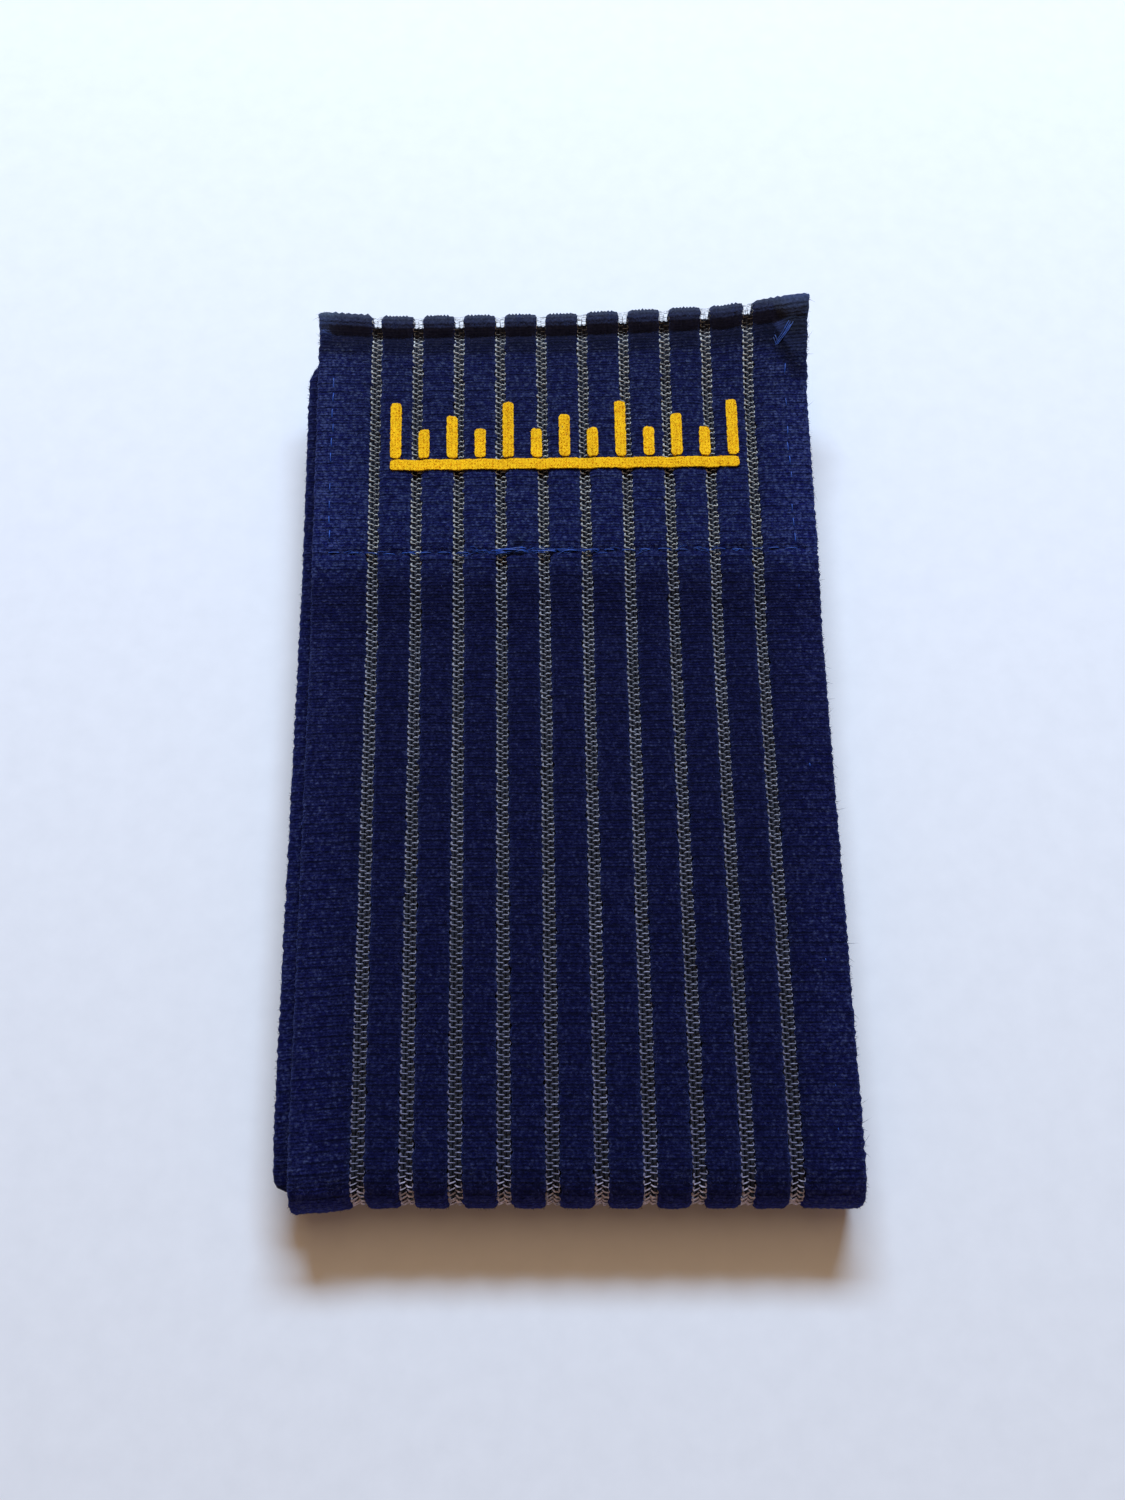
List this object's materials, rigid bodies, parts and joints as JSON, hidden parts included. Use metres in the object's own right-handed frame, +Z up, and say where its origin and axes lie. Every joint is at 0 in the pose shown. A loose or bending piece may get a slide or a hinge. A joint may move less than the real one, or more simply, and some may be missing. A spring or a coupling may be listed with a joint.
{
  "type": "tennis elbow strap",
  "caption": "Wide ribbed elastic forearm strap with open mesh stripes, fastened into a loop by a sewn hook tab and laid flat.",
  "frame": {"origin": "on the surface it lies on, under the middle of its outline", "axes": "+X across the strap, to the right when the tab is at the far end; +Y along the strap towards the tab's turned edge; +Z up"},
  "size_m": [0.0792, 0.136, 0.0174],
  "materials": {
    "plush_elastic": "navy looped plush ribs, matt with a soft bloom",
    "stripe_yarn": "pale grey filament, woven open",
    "sewing_thread": "bright blue twisted thread, slight gloss",
    "raised_print": "warm yellow flocked print",
    "hook_nylon": "black moulded hook tape"
  },
  "bodies": {
    "root": {"strap_band": "plush_elastic", "hook_patch": "hook_nylon"}
  },
  "joints": []
}
